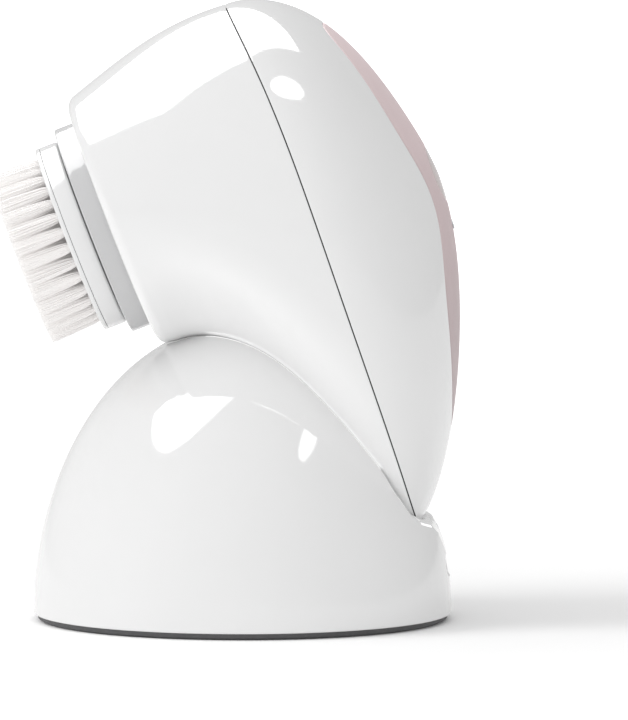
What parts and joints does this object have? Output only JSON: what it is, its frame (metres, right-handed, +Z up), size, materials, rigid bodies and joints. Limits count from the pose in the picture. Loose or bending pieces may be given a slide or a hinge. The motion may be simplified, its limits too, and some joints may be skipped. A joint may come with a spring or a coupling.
{
  "type": "facial cleansing brush with charging dock",
  "caption": "Palm-size egg-shaped rotary facial cleansing brush with a rose grip panel, resting tilted in the cradle of a domed wireless charging dock.",
  "frame": {"origin": "centre of the dock's foot pad, on the table", "axes": "+Z up; the brush faces -X and down at 21.3 degrees; the charging socket faces +X; the object mirrors about the XZ plane except for one pair of hidden wires"},
  "size_m": [0.0734, 0.065, 0.0967],
  "materials": {
    "shell_white": "gloss",
    "dock_white": "gloss",
    "collar_grey": "gloss",
    "head_white": "gloss",
    "bristle": "soft filament",
    "grip_rose": "satin",
    "button_rose": "gloss",
    "rubber_dark": "matte",
    "seal_grey": "matte",
    "steel": "machined",
    "zinc": "plated",
    "bronze": "sintered",
    "copper": "enamelled wire",
    "ferrite": "pressed ferrite",
    "circuit_board": "solder mask",
    "black_plastic": "fine grain",
    "natural_plastic": "moulded acetal",
    "foil": "foil pouch",
    "wire_red": "smooth",
    "wire_black": "smooth",
    "clear": "clear"
  },
  "bodies": {
    "dock": {"dock_shell": "dock_white", "dock_bottom_plate": "black_plastic", "dock_foot_pad": "rubber_dark", "dock_ballast": "steel", "dock_coil_tray": "natural_plastic", "dock_coil": "copper", "dock_ferrite": "ferrite", "dock_pcb": "circuit_board", "dock_usb_socket": "zinc", "dock_pcb_screws": "steel", "dock_screws": "steel", "dock_wires": "wire_red"},
    "button": {"power_button": "button_rose", "switch_stem": "black_plastic"},
    "rotor": {"motor_shaft": "steel", "motor_armature": "copper", "motor_pinion": "bronze"},
    "idler": {"idler_gear": "natural_plastic"},
    "spindle": {"drive_spindle": "steel", "output_gear": "natural_plastic", "spindle_clip": "steel"},
    "brush_head": {"brush_cup": "head_white", "bristle_plate": "head_white", "bristle_tufts": "bristle"},
    "handset": {"front_shell": "shell_white", "rear_shell": "shell_white", "body_seal": "seal_grey", "back_panel": "grip_rose", "switch_housing": "black_plastic", "button_seal": "seal_grey", "light_pipe": "clear", "status_led": "natural_plastic", "main_pcb": "circuit_board", "pcb_screws": "steel", "battery": "foil", "battery_tray": "black_plastic", "battery_wires": "wire_red", "receiver_coil": "copper", "receiver_ferrite": "ferrite", "receiver_wires": "wire_black", "motor_can": "steel", "motor_magnets": "ferrite", "motor_end_cap": "natural_plastic", "motor_screws": "steel", "motor_wires": "wire_black", "gearbox_housing": "natural_plastic", "gearbox_cover": "natural_plastic", "gearbox_screws": "steel", "idler_axle": "steel", "spindle_bush": "bronze", "shaft_seal": "rubber_dark", "collar_ring": "collar_grey", "body_screws": "steel"}
  },
  "joints": [
    {"name": "handset_lift", "type": "slide", "parent": "dock", "child": "handset", "axis": [0, 0, 1], "range_m": [0, 0.06]},
    {"name": "brush_spin", "type": "hinge", "parent": "handset", "child": "spindle", "pos_m": [-0.02016, 0, 0.06185], "axis": [-0.9317, 0, -0.3633], "continuous": true},
    {"name": "head_release", "type": "slide", "parent": "spindle", "child": "brush_head", "axis": [-0.9317, 0, -0.3633], "range_m": [0, 0.02]},
    {"name": "idler_spin", "type": "hinge", "parent": "handset", "child": "idler", "pos_m": [-0.01635, 0, 0.05207], "axis": [-0.9317, 0, -0.3633], "continuous": true},
    {"name": "motor_spin", "type": "hinge", "parent": "handset", "child": "rotor", "pos_m": [-0.01954, 0, 0.06027], "axis": [-0.9317, 0, -0.3633], "continuous": true},
    {"name": "button_press", "type": "slide", "parent": "handset", "child": "button", "axis": [-0.9317, 0, -0.3633], "range_m": [0, 0.0004]}
  ],
  "couplings": [
    {"joint": "idler_spin", "follows": "motor_spin", "ratio": -0.375},
    {"joint": "brush_spin", "follows": "motor_spin", "ratio": 0.15}
  ]
}
